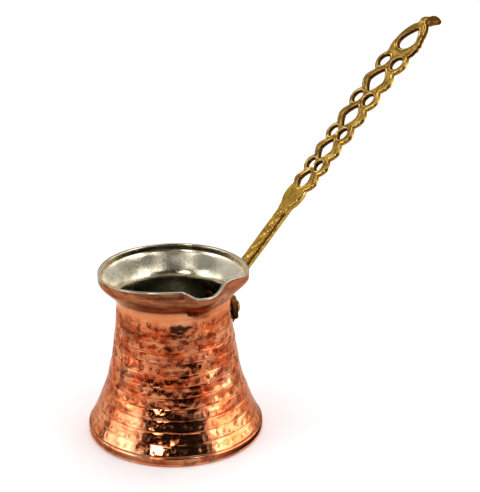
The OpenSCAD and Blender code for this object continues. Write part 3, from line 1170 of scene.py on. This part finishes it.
def floor_material():
    m = Nodes("floor_paper")
    shade = m.spread(m.noise(3), 0.2, 0.8)
    m.link(m.mix(shade, (0.93, 0.93, 0.93), (0.96, 0.96, 0.96)), m.shader.inputs["Base Color"])
    m.shader.inputs["Roughness"].default_value = 0.9
    m.shader.inputs["Specular IOR Level"].default_value = 0.1
    return m.material


def glow_material():
    """Light of the room as the metal sees it: each point of the mesh says how bright it is."""
    m = Nodes("room_glow")
    m.shader.inputs["Base Color"].default_value = (0, 0, 0, 1)
    m.shader.inputs["Specular IOR Level"].default_value = 0
    m.shader.inputs["Roughness"].default_value = 1
    m.shader.inputs["Emission Color"].default_value = (1, 1, 1, 1)
    m.link(m.attribute("glow"), m.shader.inputs["Emission Strength"])
    m.material.cycles.emission_sampling = "NONE"
    return m.material


# ---- Camera, light and stage ----

# Camera: angles in degrees, distances and the lens in millimetres.
CAMERA_TURN = 30.0
CAMERA_AWAY = 650.0
CAMERA_UP = 351.3
CAMERA_DOWN_TILT = 21.424
CAMERA_PAN = 2.845
CAMERA_LENS = 106.22
# Height in metres that the lights face.
POT_MIDDLE = 0.04


def add_camera():
    data = bpy.data.cameras.new("camera")
    data.lens = CAMERA_LENS
    data.clip_start = 0.01
    camera = bpy.data.objects.new("camera", data)
    turn = math.radians(CAMERA_TURN)
    away = CAMERA_AWAY * MM
    camera.location = (-away * math.sin(turn), -away * math.cos(turn), CAMERA_UP * MM)
    camera.rotation_euler = (math.radians(90 - CAMERA_DOWN_TILT), 0, -math.radians(CAMERA_TURN + CAMERA_PAN))
    bpy.context.scene.collection.objects.link(camera)
    bpy.context.scene.camera = camera


def around_pot(azimuth, elevation, distance):
    """Place in metres, seen from the middle of the pot, azimuth degrees to the right of the camera."""
    turn = math.radians(-90 - CAMERA_TURN + azimuth)
    rise = math.radians(elevation)
    return (distance * math.cos(rise) * math.cos(turn), distance * math.cos(rise) * math.sin(turn),
            distance * math.sin(rise) + POT_MIDDLE)


def add_light(name, azimuth, elevation, distance, size, power):
    """Soft box that faces the middle of the pot."""
    data = bpy.data.lights.new(name, "AREA")
    data.shape = "RECTANGLE"
    data.size, data.size_y = size
    data.energy = power
    light = bpy.data.objects.new(name, data)
    light.location = around_pot(azimuth, elevation, distance)
    target = np.array((0, 0, POT_MIDDLE)) - np.array(light.location)
    yaw = math.atan2(target[1], target[0])
    pitch = math.atan2(target[2], math.hypot(target[0], target[1]))
    light.rotation_euler = (math.radians(90) + pitch, 0, yaw - math.radians(90))
    bpy.context.scene.collection.objects.link(light)


# Brightness of the plain room and of its soft boxes, its dark front and the window's two panes:
# azimuth, half width, elevation, half height, softness and brightness.
ROOM_GLOW = 0.36
SOFT_BOXES = [
    (0, 400, 90, 20, 6, 1.05),
    (0, 75, 58, 11, 6, 0.30),
    (10, 24, 72, 9, 4, 0.10),
    (-42, 12, 60, 9, 4, 2.6),
    (40, 10, 62, 8, 4, 2.2),
    (38, 9, 46, 5, 3, 7.0),
    (72, 16, 45, 9, 4, 4.0),
    (180, 34, 12, 17, 5, 0.95),
    (-98, 58, 20, 26, 6, 0.95),
    (92, 50, 20, 26, 6, 1.02),
    (-84, 30, 12, 20, 5, 2.2),
    (86, 32, 12, 20, 5, 3.3),
    (-108, 6, 2, 16, 4, 0.10),
    (-128, 16, 34, 12, 6, 0.8),
]
FRONT_DARK = (-2, 45, 23.25, 21.25, 3, 0.013)
WINDOW_PANES = [(-26.5, 3.2, 28, 5.5, 0.7, 36.0), (-19, 1.9, 27, 4, 0.7, 14.0)]
TABLE_GLOW = 0.92
TABLE_FRONT = 0.84
HORIZON_FRONT = 0.50


def patch_of_sky(a, e, box):
    """Weight of a soft-edged box at azimuth a and elevation e."""
    azimuth, half_width, elevation, half_height, soft = box[:5]
    across = half_width - np.abs(half_turn(a - azimuth))
    upward = half_height - np.abs(e - elevation)
    return ramp(across / (2 * soft) + 0.5) * ramp(upward / (2 * soft) + 0.5)


def room_glow(a, e):
    """Brightness of the room in the direction of azimuth a and elevation e."""
    glow = np.full(a.shape, ROOM_GLOW)
    for box in SOFT_BOXES:
        glow += (box[5] - glow) * patch_of_sky(a, e, box)
    ragged = a + 3.5 * np.sin(e * 0.55) + 2.5 * np.sin(e * 1.6 + 1)
    glow += (FRONT_DARK[5] - glow) * patch_of_sky(ragged, e, FRONT_DARK)
    for box in WINDOW_PANES:
        glow += (box[5] - glow) * patch_of_sky(a, e, box)
    return glow


def table_glow(a, distance):
    """Brightness of the table as the metal sees it, darker close to the foot and in front."""
    front = patch_of_sky(a, 0 * a, (0, 40, 0, 30, 14))
    away = distance / MM - FOOT_R
    right = patch_of_sky(a, 0 * a, (72, 36, 0, 30, 14))
    contact = 1 - 0.3 * np.exp(-away / 5) - (0.35 + 0.42 * right) * np.exp(-away / 45)
    toward = TABLE_FRONT + (HORIZON_FRONT - TABLE_FRONT) * ramp((distance - 0.45) / 0.3)
    return (TABLE_GLOW + (toward - TABLE_GLOW) * front * ramp((distance - 0.15) / 0.2)) * contact


def add_glow(name, points, shape, glow, material):
    """A grid of points that is seen only in reflections."""
    rows, columns = shape
    faces = [(r * columns + c, r * columns + c + 1, (r + 1) * columns + c + 1, (r + 1) * columns + c)
             for r in range(rows - 1) for c in range(columns - 1)]
    card = add_mesh(name, points, faces, material, {"glow": glow.ravel()})
    card.visible_camera = False
    card.visible_diffuse = False
    card.visible_shadow = False


def add_reflections():
    """Dome of the room round the pot and the table's sheen under it."""
    material = glow_material()
    azimuths = np.linspace(-180, 180, 361)
    a, e = np.meshgrid(azimuths, np.linspace(-1.5, 90, 123))
    points = [around_pot(u, v, 1.5) for u, v in zip(a.ravel(), e.ravel())]
    add_glow("room_dome", points, a.shape, room_glow(a, e), material)
    steps = np.geomspace(0.044, 1.5, 60)
    a, distance = np.meshgrid(azimuths, steps)
    points = [around_pot(u, 0, v)[:2] + (MM,) for u, v in zip(a.ravel(), distance.ravel())]
    add_glow("table_sheen", points, a.shape, table_glow(a, distance), material)


def add_floor():
    """Wide pale sheet at the height of the pot's base."""
    half = 3.0
    corners = [(-half, -half, 0), (half, -half, 0), (half, half, 0), (-half, half, 0)]
    add_mesh("floor", corners, [(0, 1, 2, 3)], floor_material(), {})


def add_world():
    world = bpy.data.worlds.new("studio")
    world.use_nodes = True
    background = world.node_tree.nodes["Background"]
    background.inputs["Color"].default_value = (1, 1, 1, 1)
    background.inputs["Strength"].default_value = 1.0
    bpy.context.scene.world = world


def add_studio():
    add_world()
    add_floor()
    add_light("right_box", 66, 28, 1.2, (0.45, 0.7), 2.2)
    add_light("left_box", -72, 28, 1.2, (0.45, 0.7), 2.0)
    add_light("top_box", 160, 68, 1.2, (0.6, 0.4), 2.2)
    add_reflections()


bpy.context.scene.view_settings.view_transform = "Standard"
add_camera()
add_studio()
copper_body(copper_material())
tin_lining(tin_material())
handle(brass_material("cast_brass", (0.76, 0.475, 0.098), (0.44, 0.25, 0.046), (0.10, 0.032, 0.007)))
# A darker copy of the brass for the rivets, as painted shade.
shaded_rivet_brass = brass_material("rivets_in_shade", (0.40, 0.24, 0.07), (0.20, 0.10, 0.035), (0.03, 0.014, 0.006))
for number, rivet_node in enumerate(RIVETS):
    rivet(rivet_node, shaded_rivet_brass, number)
